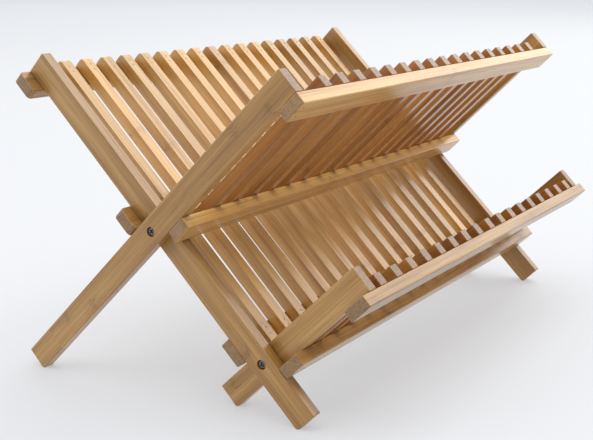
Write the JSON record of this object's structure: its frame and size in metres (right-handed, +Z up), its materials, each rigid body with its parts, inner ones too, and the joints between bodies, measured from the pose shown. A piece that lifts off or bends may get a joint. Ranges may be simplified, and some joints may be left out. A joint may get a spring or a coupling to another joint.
{
  "type": "dish drying rack",
  "caption": "Folding two-tier dish drying rack of crossed slatted wooden frames on pivot screws; plates stand on edge between the slats.",
  "frame": {"origin": "on the floor, at the middle of the rack's footprint, with the rack open for use", "axes": "+X across the rack, to the right for someone at its front; +Y from the front tier to the back; +Z up"},
  "size_m": [0.42, 0.2808, 0.2292],
  "materials": {
    "bamboo_rail": "smooth, thinly oiled laminated bamboo",
    "bamboo_bar": "smooth, thinly oiled laminated bamboo",
    "bamboo_slat": "smooth, thinly oiled bamboo strip",
    "steel": "zinc-plated steel",
    "nylon": "natural nylon"
  },
  "bodies": {
    "back_frame": {"back_top_bar": "bamboo_bar", "back_middle_bar": "bamboo_bar", "back_bottom_bar": "bamboo_bar", "back_rail_left": "bamboo_rail", "back_rail_right": "bamboo_rail", "back_slat_01": "bamboo_slat", "back_slat_02": "bamboo_slat", "back_slat_03": "bamboo_slat", "back_slat_04": "bamboo_slat", "back_slat_05": "bamboo_slat", "back_slat_06": "bamboo_slat", "back_slat_07": "bamboo_slat", "back_slat_08": "bamboo_slat", "back_slat_09": "bamboo_slat", "back_slat_10": "bamboo_slat", "back_slat_11": "bamboo_slat", "back_slat_12": "bamboo_slat", "back_slat_13": "bamboo_slat", "back_slat_14": "bamboo_slat", "back_slat_15": "bamboo_slat", "back_slat_16": "bamboo_slat", "back_slat_17": "bamboo_slat", "back_slat_nails": "steel", "back_rail_nails": "steel", "upper_pivot_screws": "steel", "upper_pivot_washers": "nylon"},
    "upper_frame": {"upper_top_bar": "bamboo_bar", "upper_bottom_bar": "bamboo_bar", "upper_rail_left": "bamboo_rail", "upper_rail_right": "bamboo_rail", "upper_slat_nails": "steel", "upper_rail_nails": "steel", "upper_slat_01": "bamboo_slat", "upper_slat_02": "bamboo_slat", "upper_slat_03": "bamboo_slat", "upper_slat_04": "bamboo_slat", "upper_slat_05": "bamboo_slat", "upper_slat_06": "bamboo_slat", "upper_slat_07": "bamboo_slat", "upper_slat_08": "bamboo_slat", "upper_slat_09": "bamboo_slat", "upper_slat_10": "bamboo_slat", "upper_slat_11": "bamboo_slat", "upper_slat_12": "bamboo_slat", "upper_slat_13": "bamboo_slat", "upper_slat_14": "bamboo_slat", "upper_slat_15": "bamboo_slat", "upper_slat_16": "bamboo_slat", "upper_slat_17": "bamboo_slat"},
    "lower_frame": {"lower_top_bar": "bamboo_bar", "lower_bottom_bar": "bamboo_bar", "lower_rail_left": "bamboo_rail", "lower_rail_right": "bamboo_rail", "lower_slat_nails": "steel", "lower_rail_nails": "steel", "lower_slats": "bamboo_slat", "lower_pivot_screws": "steel", "lower_pivot_washers": "nylon"}
  },
  "joints": [
    {"name": "upper_fold", "type": "hinge", "parent": "back_frame", "child": "upper_frame", "pos_m": [0, 0.01985, 0.11758], "axis": [-1, 0, 0], "range_deg": [0, 91.2]},
    {"name": "lower_fold", "type": "hinge", "parent": "back_frame", "child": "lower_frame", "pos_m": [0, -0.06124, 0.03817], "axis": [-1, 0, 0], "range_deg": [0, 91.2]}
  ]
}
